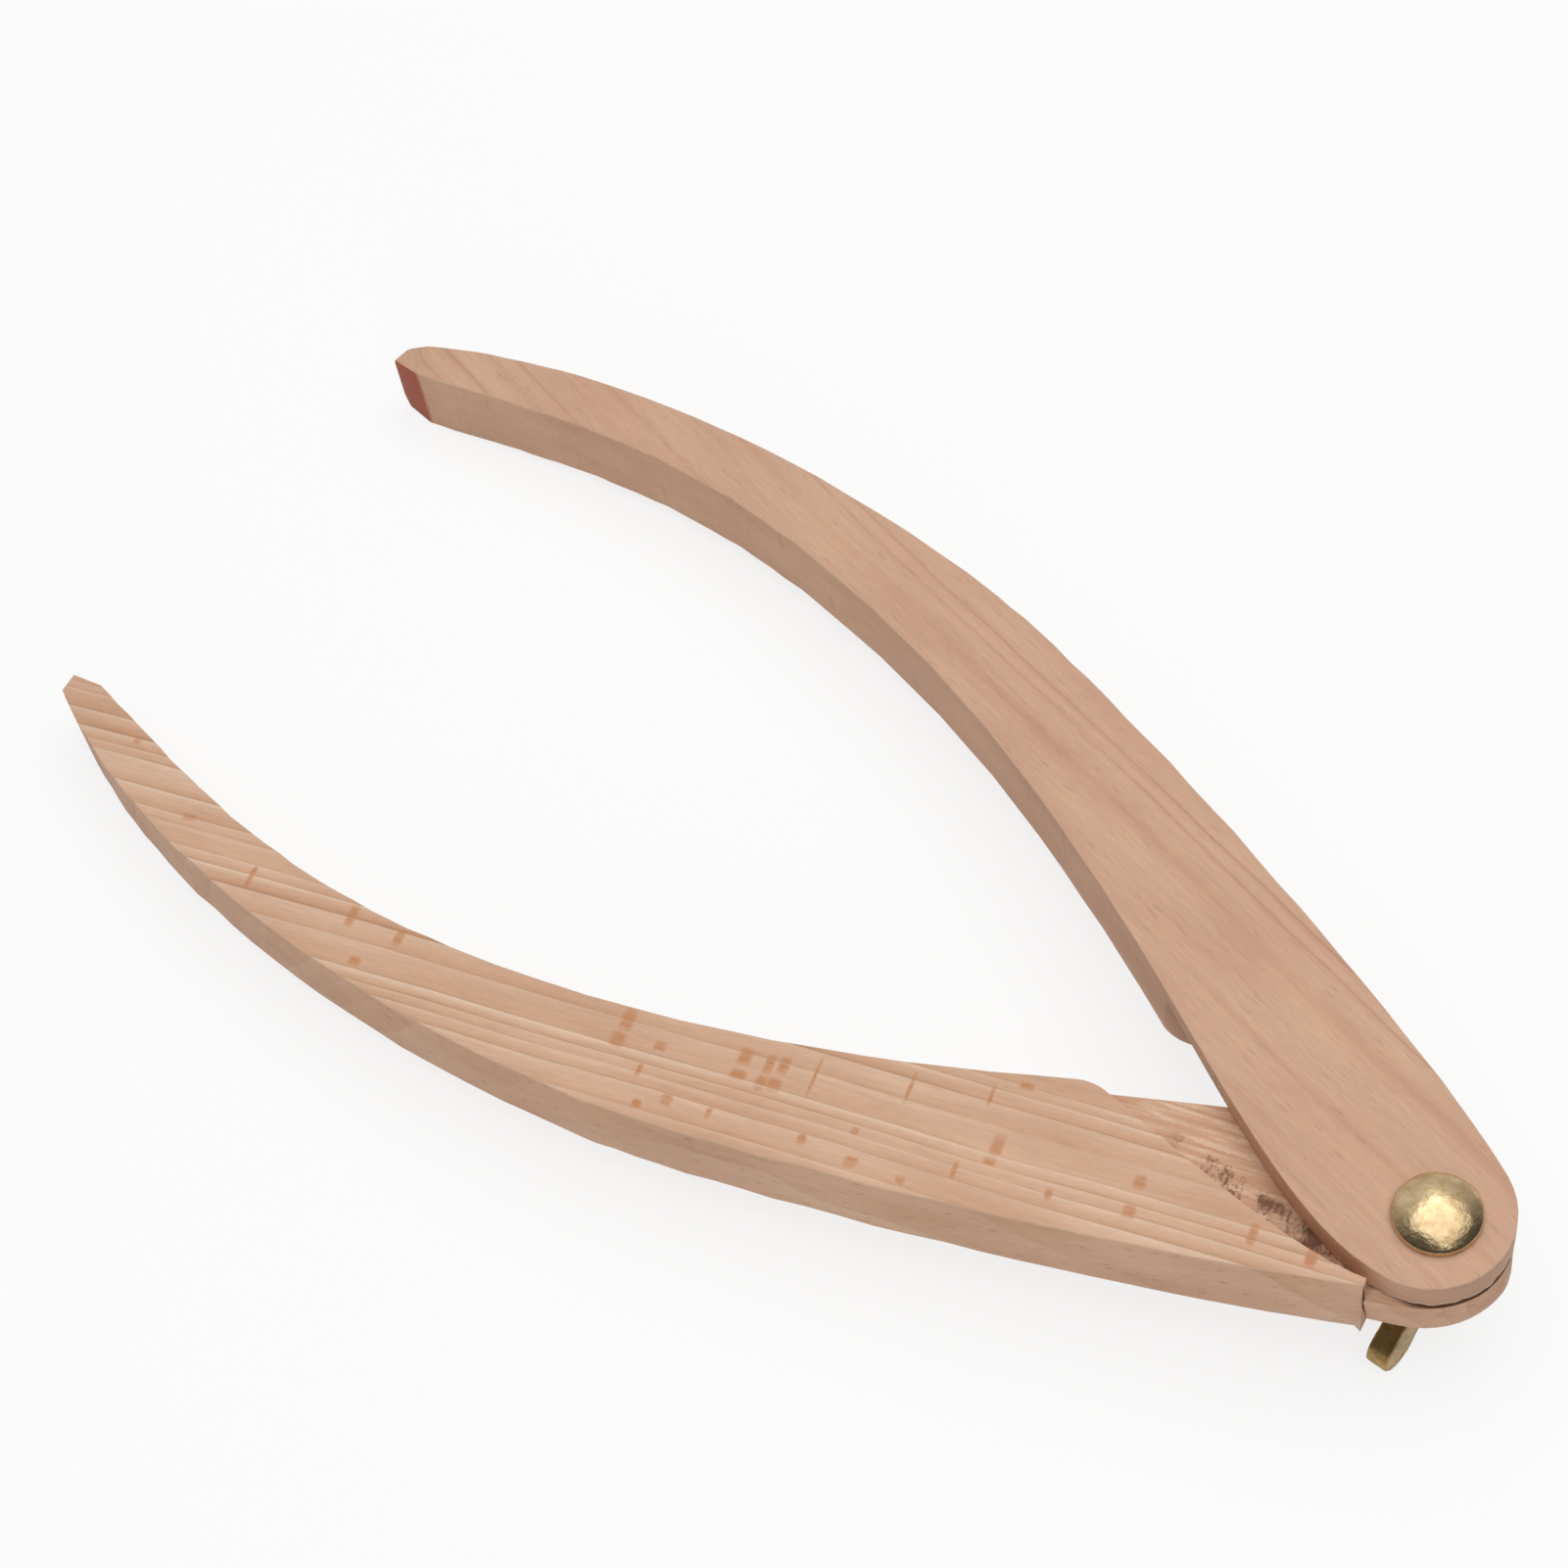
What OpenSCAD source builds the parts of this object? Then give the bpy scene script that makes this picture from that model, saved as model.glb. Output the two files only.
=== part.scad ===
// Wooden bow caliper: two beech legs of one pattern, joined by a half lap and
// clamped by a brass carriage bolt with a washer and a wing nut.
//
// Frame, in millimetres: the origin is on the hinge axis, in the plane of the
// legs' undersides. +X runs from the hinge towards the tips, midway between
// the legs as they lie; +Z is up, towards the bolt's head. The lower leg
// carries the bottom half of the lap and lies on the +Y side.
//
// Each leg is drawn in its own plan frame: x from the hinge axis along the
// closing line, where the two legs meet when the caliper is shut, and y
// outwards from that line.

/* [Legs] */
// Length of a leg from the hinge axis to the nose of its tip
leg_reach = 244; // [225:1:270]
// Thickness of the board that the legs are cut from
leg_t = 13.5; // [11:0.5:16]
// Angle between the legs as they lie
opening = 19.5; // [5:0.5:90]
// Radius of the rounded hinge end
end_r = 12.5; // [11.5:0.25:14]
// Distance of that end's centre ahead of the hinge axis
end_shift = 1.5; // [0:0.25:2.5]
// Height of the outer edge's crest above the closing line
outer_crest_h = 35; // [30:0.5:42]
// Distance of the outer crest from the hinge axis
outer_crest_x = 126; // [115:1:140]
// Height of the inner edge's crest above the closing line
inner_crest_h = 19.8; // [14:0.2:24]
// Distance of the inner crest from the hinge axis
inner_crest_x = 156; // [140:1:165]

/* [Curves of the edges] */
// Direction in which the outer edge leaves the hinge end
outer_start_a = 21; // [15:1:25]
// Pull of the outer edge at the hinge end
outer_start_pull = 25; // [15:1:40]
// Pull of the outer edge before its crest
outer_rise_pull = 25; // [15:1:40]
// Pull of the outer edge after its crest
outer_fall_pull = 69; // [50:1:80]
// Steepness of the outer edge where it meets the nose
outer_tip_a = 39; // [33:1:45]
// Pull of the outer edge at the nose
outer_tip_pull = 12; // [8:1:20]
// Direction in which the inner edge leaves the hinge end
inner_start_a = -15; // [-20:1:-8]
// Pull of the inner edge at the hinge end
inner_start_pull = 27; // [20:1:35]
// Pull of the inner edge before its crest
inner_rise_pull = 79; // [65:1:90]
// Pull of the inner edge after its crest
inner_fall_pull = 37; // [25:1:50]
// Steepness of the inner edge where it meets the contact face
inner_tip_a = 21; // [15:1:28]
// Pull of the inner edge at the contact face
inner_tip_pull = 24; // [15:1:35]

/* [Tips] */
// Length of the flat contact face of a tip
contact_l = 6.4; // [4:0.2:9]
// Gap between the contact faces when the caliper is shut
tip_gap = 0.1; // [0.05:0.05:0.5]
// Radius of the corner between the contact face and the tip's end
corner_r = 0.8; // [0.3:0.1:1.2]
// Radius of the nose on the outer side of the tip
nose_r = 2; // [1:0.25:3]
// Distance of the nose behind the end of the tip
nose_back = 1; // [0:0.25:2]
// Radius of the tip's end over the thickness of the leg
end_bow_r = 15; // [9:0.5:30]
// Length of the facet that thins the tip, along the contact face
facet_l = 7.5; // [5:0.5:10]
// Depth of that facet at the nose
facet_h = 1.8; // [1:0.1:3]
// Angle between the facet's upper border and the closing line
facet_a = 58; // [30:1:70]

/* [Half lap] */
// Thickness of the upper leg's half of the lap at the bolt
upper_lap_t = 5.8; // [5:0.1:6.5]
// Radius within which the faces of the lap are flat
lap_flat_r = 7; // [6.5:0.25:10]
// Slope of the faces of the lap beyond it, down to a thinner upper half
lap_slope = 3.2; // [0:0.2:3.6]
// Gap between the two halves of the lap
lap_gap = 0.4; // [0.1:0.1:0.8]
// Gap between a shoulder and the edge that nests in it when the caliper is shut
nest_gap = 0.4; // [0.2:0.1:1]
// Distance of the outer end of a shoulder from the hinge axis
shoulder_x = 5.2; // [4:0.2:8]
// Where the dressed heel of the lower leg is centred, ahead of the hinge axis
heel_x = 3; // [2:0.25:4]
// and inwards of it
heel_y = 2; // [1:0.25:3]
// Radius of the dressed heel at the leg's underside
heel_r = 14.2; // [14:0.1:15]
// Gain of that radius up to the lap
heel_flare = 0.6; // [0:0.1:1]

/* [Carriage bolt] */
// Diameter of the domed head
head_d = 13.2; // [11:0.1:16]
// Height of the head
head_h = 3.4; // [2.4:0.1:4]
// Thickness of the head at its rim
head_rim = 1.1; // [0.4:0.1:1.4]
// Diameter of the shank
shank_d = 5; // [4:0.1:6]
// Length of the bolt under its head
shank_l = 25; // [24:0.5:30]
// Chamfer of the shank's end
shank_chamfer = 0.5; // [0.2:0.1:0.8]
// Width of the square neck across its flats
neck_w = 5.2; // [5:0.1:6.4]
// Height of the square neck
neck_h = 3.4; // [2.5:0.1:4]
// Clearance all round the square neck in its socket
neck_clear = 0.05; // [0.02:0.01:0.2]
// Radial clearance of the shank in every hole that it passes
bore_clear = 0.05; // [0.02:0.01:0.1]

/* [Washer] */
// Outer diameter of the washer
washer_d = 12.5; // [11:0.5:15]
// Thickness of the washer
washer_t = 1; // [0.8:0.1:1.6]
// Clearance between washer and leg, and between washer and nut
seat_gap = 0.05; // [0.02:0.01:0.1]

/* [Wing nut] */
// Diameter of the hub where it bears on the washer
hub_d = 11; // [9.5:0.5:12.5]
// Diameter of the hub at its far end
hub_end_d = 9; // [8:0.5:10]
// Height of the hub
hub_h = 7; // [6:0.5:8]
// Chamfer of the hub's edges
hub_chamfer = 0.4; // [0.2:0.1:0.6]
// Span across both wings
wing_span = 29; // [26:0.5:33]
// Height of the nut from its seat to the wings' far edges
wing_h = 13.5; // [12:0.5:15]
// Radius of a wing's rounded end
wing_end_r = 3.8; // [2.5:0.1:4.4]
// Radius of a wing halfway along
wing_mid_r = 3.3; // [2:0.1:3.6]
// Radius of a wing at its root
wing_root_r = 2.7; // [1.8:0.1:3]
// Thickness of the wings
wing_t = 3.6; // [2:0.1:4]
// Angle at which the nut is left, measured from the +X direction
nut_turn = 87; // [0:1:180]

/* [Hidden] */

$fn = 96;
edge_steps = 28;   // straight steps along each half of an edge curve
end_steps = 16;    // straight steps round the hinge end
nose_steps = 8;    // straight steps round the nose
clear_cut = 60;    // reach of a wide cut past the leg's edges
over = 1;          // overshoot of a hole past the faces that it opens

lower_lap_t = leg_t - upper_lap_t - lap_gap;   // at the bolt
lap_rise = (clear_cut - lap_flat_r) * tan(lap_slope);   // of the lap's faces, out to clear_cut
contact_y = tip_gap / 2;
contact_x = leg_reach - corner_r - contact_l;   // where the contact face begins
corner_centre = [leg_reach - corner_r, contact_y + corner_r];
nose_centre = [leg_reach - nose_back - nose_r, contact_y + nose_r];
bore_d = shank_d + 2 * bore_clear;
washer_z = -seat_gap;                 // upper face of the washer
nut_z = washer_z - washer_t - seat_gap;   // seat of the wing nut

function unit(a) = [cos(a), sin(a)];

// Point at share t of a cubic curve between a and d, pulled towards b and c
function curve_point(a, b, c, d, t) =
    pow(1 - t, 3) * a + 3 * pow(1 - t, 2) * t * b + 3 * (1 - t) * t * t * c + pow(t, 3) * d;

// Curve from a to d that leaves in direction a_dir and arrives in direction d_dir
function curve(a, a_dir, a_pull, d, d_dir, d_pull) =
    [for (i = [0 : edge_steps])
        curve_point(a, a + a_pull * unit(a_dir), d - d_pull * unit(d_dir), d, i / edge_steps)];

function arc(centre, r, from, to, steps) =
    [for (i = [0 : steps]) centre + r * unit(from + (to - from) * i / steps)];

// Outer edge, from the hinge end over its crest to the nose
outer_start = [end_shift, 0] + end_r * unit(90 + outer_start_a);
outer_crest = [outer_crest_x, outer_crest_h];
outer_end = nose_centre + nose_r * unit(90 - outer_tip_a);
outer_rise = curve(outer_start, outer_start_a, outer_start_pull, outer_crest, 0, outer_rise_pull);
outer_fall = curve(outer_crest, 0, outer_fall_pull, outer_end, -outer_tip_a, outer_tip_pull);

// Inner edge, from the hinge end over its crest to the contact face
inner_start = [end_shift, 0] + end_r * unit(inner_start_a - 90);
inner_crest = [inner_crest_x, inner_crest_h];
inner_end = [contact_x, contact_y];
inner_rise = curve(inner_start, inner_start_a, inner_start_pull, inner_crest, 0, inner_rise_pull);
inner_fall = curve(inner_crest, 0, inner_fall_pull, inner_end, -inner_tip_a, inner_tip_pull);

function tail(points) = [for (i = [1 : len(points) - 1]) points[i]];
function reversed(points) = [for (i = [len(points) - 1 : -1 : 0]) points[i]];

// Direction in which the straight end between the nose and the corner faces
nose_run = nose_centre - corner_centre;
end_face_a = atan2(nose_run[1], nose_run[0]) - acos((corner_r - nose_r) / norm(nose_run));

leg_outline = concat(
    outer_rise,
    tail(outer_fall),
    tail(arc(nose_centre, nose_r, 90 - outer_tip_a, end_face_a, nose_steps)),
    arc(corner_centre, corner_r, end_face_a, -90, nose_steps),
    reversed(inner_fall),
    tail(reversed(inner_rise)),
    tail(arc([end_shift, 0], end_r, inner_start_a + 270, 90 + outer_start_a, end_steps))
);

// Edge of the other leg when the caliper is shut, moved out by the nesting gap
nest_edge = [for (p = inner_rise) if (p[0] > shoulder_x) [p[0], nest_gap - p[1]]];

// What a leg gives up for the other leg's half of the lap, seen in plan
module lap_cutout() {
    polygon(concat(
        [[-clear_cut, clear_cut], [shoulder_x, clear_cut], [shoulder_x, nest_edge[0][1]]],
        nest_edge,
        [[inner_crest_x, -clear_cut], [-clear_cut, -clear_cut]]
    ));
}

// What the bowed end of the tip gives up above and below its middle
module end_bow() {
    translate([leg_reach - end_bow_r, 0, leg_t / 2])
        rotate([90, 0, 0])
            difference() {
                translate([0, -leg_t, -clear_cut]) cube([clear_cut, 2 * leg_t, 2 * clear_cut]);
                translate([0, 0, -clear_cut - over])
                    cylinder(h = 2 * (clear_cut + over), r = end_bow_r);
            }
}

// Facet that thins the tip on the face that carries the lap
module tip_facet() {
    depth = facet_l * sin(facet_a);
    translate([leg_reach - facet_l, contact_y, 0])
        rotate([0, 0, facet_a])
            rotate([-atan2(facet_h, depth), 0, 0])
                translate([-clear_cut, -clear_cut, -clear_cut])
                    cube([2 * clear_cut, clear_cut, clear_cut]);
}

// Room above a half of the lap: flat round the bolt, then a cone about the
// hinge axis, so that the two halves pass each other at any angle
module lap_room(lap_t, rise) {
    intersection() {
        linear_extrude(2 * leg_t) lap_cutout();
        rotate_extrude()
            polygon([[0, lap_t], [lap_flat_r, lap_t], [clear_cut, lap_t + rise],
                     [clear_cut, 2 * leg_t], [0, 2 * leg_t]]);
    }
}

// One leg in its own plan frame, its half of the lap at the bottom
module leg(lap_t, rise) {
    difference() {
        linear_extrude(leg_t) polygon(leg_outline);
        lap_room(lap_t, rise);
        tip_facet();
        end_bow();
        translate([0, 0, -over]) cylinder(h = leg_t + 2 * over, d = bore_d);
    }
}

// What is dressed off the lower leg's heel, outside a flaring round
module heel_dressing() {
    difference() {
        translate([shoulder_x - clear_cut, 0, -over])
            cube([clear_cut, clear_cut, leg_t + 2 * over]);
        translate([heel_x, -heel_y, -2 * over])
            cylinder(h = leg_t + 4 * over, r1 = heel_r - 2 * over * heel_flare / lower_lap_t,
                     r2 = heel_r + (leg_t + 2 * over) * heel_flare / lower_lap_t);
    }
}

module lower_leg() {
    color([0.84, 0.70, 0.60])
        rotate([0, 0, opening / 2])
            difference() {
                leg(lower_lap_t, lap_rise);
                heel_dressing();
            }
}

// The same leg turned over, with a square socket for the bolt's neck
module upper_leg() {
    socket_w = neck_w + 2 * neck_clear;
    socket_h = neck_h + neck_clear;
    color([0.80, 0.65, 0.54])
        rotate([0, 0, -opening / 2])
            difference() {
                translate([0, 0, leg_t]) rotate([180, 0, 0]) leg(upper_lap_t, -lap_rise);
                translate([-socket_w / 2, -socket_w / 2, leg_t - socket_h])
                    cube([socket_w, socket_w, socket_h + over]);
            }
}

// Carriage bolt: domed head, square neck and round shank, head up
module carriage_bolt() {
    dome_h = head_h - head_rim;
    dome_r = (pow(head_d / 2, 2) + pow(dome_h, 2)) / (2 * dome_h);
    dome_a = asin(head_d / 2 / dome_r);
    color([0.83, 0.72, 0.42])
        translate([0, 0, leg_t])
            rotate([0, 0, -opening / 2]) {
                rotate_extrude()
                    polygon(concat(
                        [[0, -shank_l], [shank_d / 2 - shank_chamfer, -shank_l],
                         [shank_d / 2, shank_chamfer - shank_l], [shank_d / 2, 0], [head_d / 2, 0]],
                        arc([0, head_h - dome_r], dome_r, 90 - dome_a, 90, nose_steps)
                    ));
                translate([-neck_w / 2, -neck_w / 2, -neck_h])
                    cube([neck_w, neck_w, neck_h + head_rim]);
            }
}

module washer() {
    color([0.80, 0.68, 0.40])
        translate([0, 0, washer_z - washer_t])
            difference() {
                cylinder(h = washer_t, d = washer_d);
                translate([0, 0, -over]) cylinder(h = washer_t + 2 * over, d = bore_d);
            }
}

// Flat bar with a round end of radius rp at p and another of radius rq at q
module tapered_bar(p, rp, q, rq) {
    run = q - p;
    along = atan2(run[1], run[0]);
    lean = acos((rp - rq) / norm(run));
    translate(p) circle(r = rp);
    translate(q) circle(r = rq);
    polygon([p + rp * unit(along + lean), q + rq * unit(along + lean),
             q + rq * unit(along - lean), p + rp * unit(along - lean)]);
}

// One wing: x outwards from the nut's axis, y away from the seat
module wing_shape() {
    end_point = [wing_span / 2 - wing_end_r, wing_h - wing_end_r];
    root_point = [hub_end_d / 2 - wing_root_r / 2, hub_h - wing_root_r];
    mid_point = [(end_point[0] + root_point[0]) / 2, (end_point[1] + root_point[1]) / 2 - wing_root_r / 3];
    tapered_bar(end_point, wing_end_r, mid_point, wing_mid_r);
    tapered_bar(mid_point, wing_mid_r, root_point, wing_root_r);
}

module wing_nut() {
    color([0.78, 0.66, 0.38])
        translate([0, 0, nut_z])
            rotate([180, 0, nut_turn])
                difference() {
                    union() {
                        rotate_extrude()
                            polygon([[0, 0], [hub_d / 2 - hub_chamfer, 0], [hub_d / 2, hub_chamfer],
                                     [hub_end_d / 2, hub_h - hub_chamfer],
                                     [hub_end_d / 2 - hub_chamfer, hub_h], [0, hub_h]]);
                        for (side = [0, 180])
                            rotate([0, 0, side])
                                rotate([90, 0, 0])
                                    translate([0, 0, -wing_t / 2])
                                        linear_extrude(wing_t) wing_shape();
                    }
                    translate([0, 0, -over]) cylinder(h = wing_h + 2 * over, d = bore_d);
                }
}

lower_leg();
upper_leg();
carriage_bolt();
washer();
wing_nut();
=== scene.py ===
# Wooden bow caliper: two bowed beech legs with stained tips, held by a brass bolt, washer and wing nut.
# The model is in metres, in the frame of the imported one: hinge at the origin, tips along +X, bolt's head up.
# The dictionaries are in millimetres and degrees where no note says otherwise.
import math
import bmesh
import bpy
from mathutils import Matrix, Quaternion, Vector


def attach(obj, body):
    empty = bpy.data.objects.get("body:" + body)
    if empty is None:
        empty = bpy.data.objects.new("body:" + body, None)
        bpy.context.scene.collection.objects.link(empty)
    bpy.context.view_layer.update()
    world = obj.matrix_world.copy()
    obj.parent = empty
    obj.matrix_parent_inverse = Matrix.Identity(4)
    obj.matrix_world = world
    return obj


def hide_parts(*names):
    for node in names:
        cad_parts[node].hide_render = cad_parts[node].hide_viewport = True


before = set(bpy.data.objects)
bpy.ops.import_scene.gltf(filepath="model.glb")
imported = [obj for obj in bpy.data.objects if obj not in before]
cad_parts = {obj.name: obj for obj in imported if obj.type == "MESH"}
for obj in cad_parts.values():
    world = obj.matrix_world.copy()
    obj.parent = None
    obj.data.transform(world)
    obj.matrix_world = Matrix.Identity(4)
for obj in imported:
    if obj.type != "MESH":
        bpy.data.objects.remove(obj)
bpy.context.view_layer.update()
mm = 0.001
inMm = (1000, 1000, 1000)  # scale of a mapping that reads metres as millimetres
print("loaded", len(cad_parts), "nodes")


# Small helpers

def hexColor(code):  # linear colour of an sRGB hex value
    parts = [int(code[i:i + 2], 16) / 255 for i in (1, 3, 5)]
    return [p / 12.92 if p <= 0.04045 else ((p + 0.055) / 1.055) ** 2.4 for p in parts] + [1]


# One node with its settings; an input is a value, a node or one of a node's outputs
def addNode(tree, kind, inputs=None, stops=None, **settings):
    node = tree.nodes.new(kind)
    for name, value in settings.items():
        setattr(node, name, value)
    sockets = [socket for socket in node.inputs if socket.enabled]
    for key, value in (inputs or {}).items():
        socket = sockets[key] if isinstance(key, int) else next(s for s in sockets if s.name == key)
        if isinstance(value, bpy.types.Node):
            value = next(output for output in value.outputs if output.enabled)
        if isinstance(value, bpy.types.NodeSocket):
            tree.links.new(value, socket)
        else:
            socket.default_value = value
    if stops:
        ramp = node.color_ramp
        while len(ramp.elements) < len(stops):
            ramp.elements.new(1)
        for element, (place, colour) in zip(ramp.elements, stops):
            element.position = place
            element.color = colour
    return node


def newMaterial(name):
    material = bpy.data.materials.new(name)
    material.use_nodes = True
    material.node_tree.nodes.clear()
    return material, material.node_tree


def editOnly(piece):  # the piece alone in edit mode, with nothing selected in it
    bpy.ops.object.select_all(action="DESELECT")
    piece.select_set(True)
    bpy.context.view_layer.objects.active = piece
    bpy.ops.object.mode_set(mode="EDIT")
    bpy.ops.mesh.select_all(action="DESELECT")


def objectMode():
    bpy.ops.object.mode_set(mode="OBJECT")


def perMm(sizes):  # scale of a mapping for a pattern of these sizes
    return tuple(1 / size for size in sizes)


cleaning = {"points": 0.004, "faces": 0.1}  # how close points and how level faces are to be made one


def copyOf(nodeName, pieceName):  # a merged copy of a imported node, to be finished by hand
    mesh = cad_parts[nodeName].data.copy()
    mesh.name = pieceName
    mesh.materials.clear()
    piece = bpy.data.objects.new(pieceName, mesh)
    bpy.context.scene.collection.objects.link(piece)
    editOnly(piece)
    bpy.ops.mesh.select_all(action="SELECT")
    bpy.ops.mesh.remove_doubles(threshold=cleaning["points"] * mm)
    bpy.ops.mesh.dissolve_limited(angle_limit=math.radians(cleaning["faces"]))
    objectMode()
    return piece


def selectSharp(piece, sharper):  # in edit mode, the outward edges that are sharper than an angle in degrees
    bpy.ops.mesh.select_mode(type="EDGE")
    shape = bmesh.from_edit_mesh(piece.data)
    for edge in shape.edges:
        edge.select_set(len(edge.link_faces) == 2 and edge.calc_face_angle_signed() > math.radians(sharper))
    bmesh.update_edit_mesh(piece.data)


def finishPiece(piece, material, smoothTo, body, node=None):
    piece.data.materials.clear()
    piece.data.materials.append(material)
    bpy.ops.object.select_all(action="DESELECT")
    piece.select_set(True)
    bpy.context.view_layer.objects.active = piece
    bpy.ops.object.shade_smooth_by_angle(angle=math.radians(smoothTo))
    if node:
        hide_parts(node)
    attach(piece, body)


# Camera, high behind the hinge on the lower leg's side, tipped a little to the right

cameraSpot = {"place": (-119.2, 212.3, 481.6), "aim": (125.1, -7.2, 13.5), "roll": -12.2, "lens": 82.8,
              "film": 36}

cameraData = bpy.data.cameras.new("camera")
cameraData.lens = cameraSpot["lens"]
cameraData.sensor_width = cameraSpot["film"]
cameraData.clip_start = 0.01
camera = bpy.data.objects.new("camera", cameraData)
camera.location = Vector(cameraSpot["place"]) * mm
lookAlong = (Vector(cameraSpot["aim"]) - Vector(cameraSpot["place"])).normalized()
camera.rotation_mode = "QUATERNION"
roll = Quaternion((0, 0, 1), math.radians(cameraSpot["roll"]))
camera.rotation_quaternion = lookAlong.to_track_quat("-Z", "Y") @ roll
bpy.context.scene.collection.objects.link(camera)
bpy.context.scene.camera = camera
bpy.context.scene.view_settings.view_transform = "Standard"
print("camera set")


# Floor and light: the caliper lies on its two tips and the wings of its nut

studio = {
    "floorAtHinge": -14.75,     # height of the floor under the hinge
    "floorAtTips": -0.05,       # and under the tips
    "tipDistance": 240,
    "floorSize": 8,             # metres, as are the lights' sizes and places; their power is in watts
    "floorColour": "#F4F3F1",
    "floorWhite": 0.8,          # share of plain white that the camera sees in the floor
    "boxPlace": (-0.05, -0.22, 0.95),
    "boxSize": 1.35,
    "boxPower": 8.7,
    "fillPlace": (-0.8, 0.9, 0.4),
    "fillSize": 0.6,
    "fillPower": 2,
    "skyLow": 0.22,
    "skyHigh": 0.42,
    "skySpan": (-0.05, 0.9),    # the sky brightens between these heights of view, where 1 is straight up
    "backdrop": 0.97,           # how white the camera sees the wall past the floor
    "wallBehindCamera": 0.2,    # how bright the metal sees the wall there, and the one opposite
    "wallOpposite": 2.5,
    "opposite": (0.744, -0.668, 0),
    "wallSpan": (0, 0.9),       # that wall brightens towards its middle, which is 1
}

bpy.ops.mesh.primitive_plane_add(size=studio["floorSize"])
floor = bpy.context.active_object
floor.name = "floor"
rise = math.atan2(studio["floorAtTips"] - studio["floorAtHinge"], studio["tipDistance"])
floor.data.transform(Quaternion((0, 1, 0), -rise).to_matrix().to_4x4())
for corner in floor.data.vertices:
    corner.co.z += studio["floorAtHinge"] * mm
floorPaint, tree = newMaterial("matt white floor paint")
rays = addNode(tree, "ShaderNodeLightPath")
seen = addNode(tree, "ShaderNodeMath", {0: rays.outputs["Is Camera Ray"], 1: rays.outputs["Is Glossy Ray"]},
               operation="MAXIMUM")
seen = addNode(tree, "ShaderNodeMath", {0: seen, 1: rays.outputs["Is Transmission Ray"]}, operation="MAXIMUM")
share = addNode(tree, "ShaderNodeMath", {0: seen, 1: studio["floorWhite"]}, operation="MULTIPLY")
paint = addNode(tree, "ShaderNodeBsdfDiffuse", {"Color": hexColor(studio["floorColour"])})
white = addNode(tree, "ShaderNodeEmission", {"Color": (1, 1, 1, 1), "Strength": 1})
mixed = addNode(tree, "ShaderNodeMixShader", {0: share, 1: paint, 2: white})
addNode(tree, "ShaderNodeOutputMaterial", {"Surface": mixed})
floor.data.materials.append(floorPaint)

for name, key in (("overhead softbox", "box"), ("fill from the left", "fill")):
    light = bpy.data.lights.new(name, "AREA")
    light.shape = "SQUARE"
    light.size = studio[key + "Size"]
    light.energy = studio[key + "Power"]
    lightObject = bpy.data.objects.new(name, light)
    lightObject.location = studio[key + "Place"]
    lightObject.rotation_mode = "QUATERNION"
    if key == "fill":  # the softbox hangs level, the fill looks at the hinge
        lightObject.rotation_quaternion = (Vector() - lightObject.location).to_track_quat("-Z", "Y")
    lightObject.visible_glossy = key == "box"
    bpy.context.scene.collection.objects.link(lightObject)

sky = bpy.data.worlds.new("studio walls")
sky.use_nodes = True
tree = sky.node_tree
tree.nodes.clear()
direction = addNode(tree, "ShaderNodeTexCoord")
upward = addNode(tree, "ShaderNodeSeparateXYZ", {0: direction.outputs["Generated"]})
level = addNode(tree, "ShaderNodeMapRange", {"Value": upward.outputs["Z"], "From Min": studio["skySpan"][0],
                "From Max": studio["skySpan"][1], "To Min": studio["skyLow"], "To Max": studio["skyHigh"]})
# the room is dark behind the camera and bright across from it: only the metal shows that
ahead = addNode(tree, "ShaderNodeVectorMath", {0: direction.outputs["Generated"], 1: studio["opposite"]},
                operation="DOT_PRODUCT")
walls = addNode(tree, "ShaderNodeMapRange", {"Value": ahead.outputs["Value"], "From Min": studio["wallSpan"][0],
                "From Max": studio["wallSpan"][1], "To Min": studio["wallBehindCamera"],
                "To Max": studio["wallOpposite"]})
skyRays = addNode(tree, "ShaderNodeLightPath")
walls = addNode(tree, "ShaderNodeMix", {"Factor": skyRays.outputs["Is Glossy Ray"], "A": 1.0, "B": walls},
                data_type="FLOAT")
level = addNode(tree, "ShaderNodeMath", {0: level, 1: walls}, operation="MULTIPLY")
level = addNode(tree, "ShaderNodeMix",
                {"Factor": skyRays.outputs["Is Camera Ray"], "A": level, "B": studio["backdrop"]},
                data_type="FLOAT")
glow = addNode(tree, "ShaderNodeBackground", {"Color": (1, 1, 1, 1), "Strength": level})
addNode(tree, "ShaderNodeOutputWorld", {"Surface": glow})
bpy.context.scene.world = sky
print("floor and light set")


# Beech boards, bare and sanded: a pale pinkish wood with fine short dashes and soft growth rings, and with
# orange-brown ray patches where the board is cut towards the heart. Each leg's board was cut another way.

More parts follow.
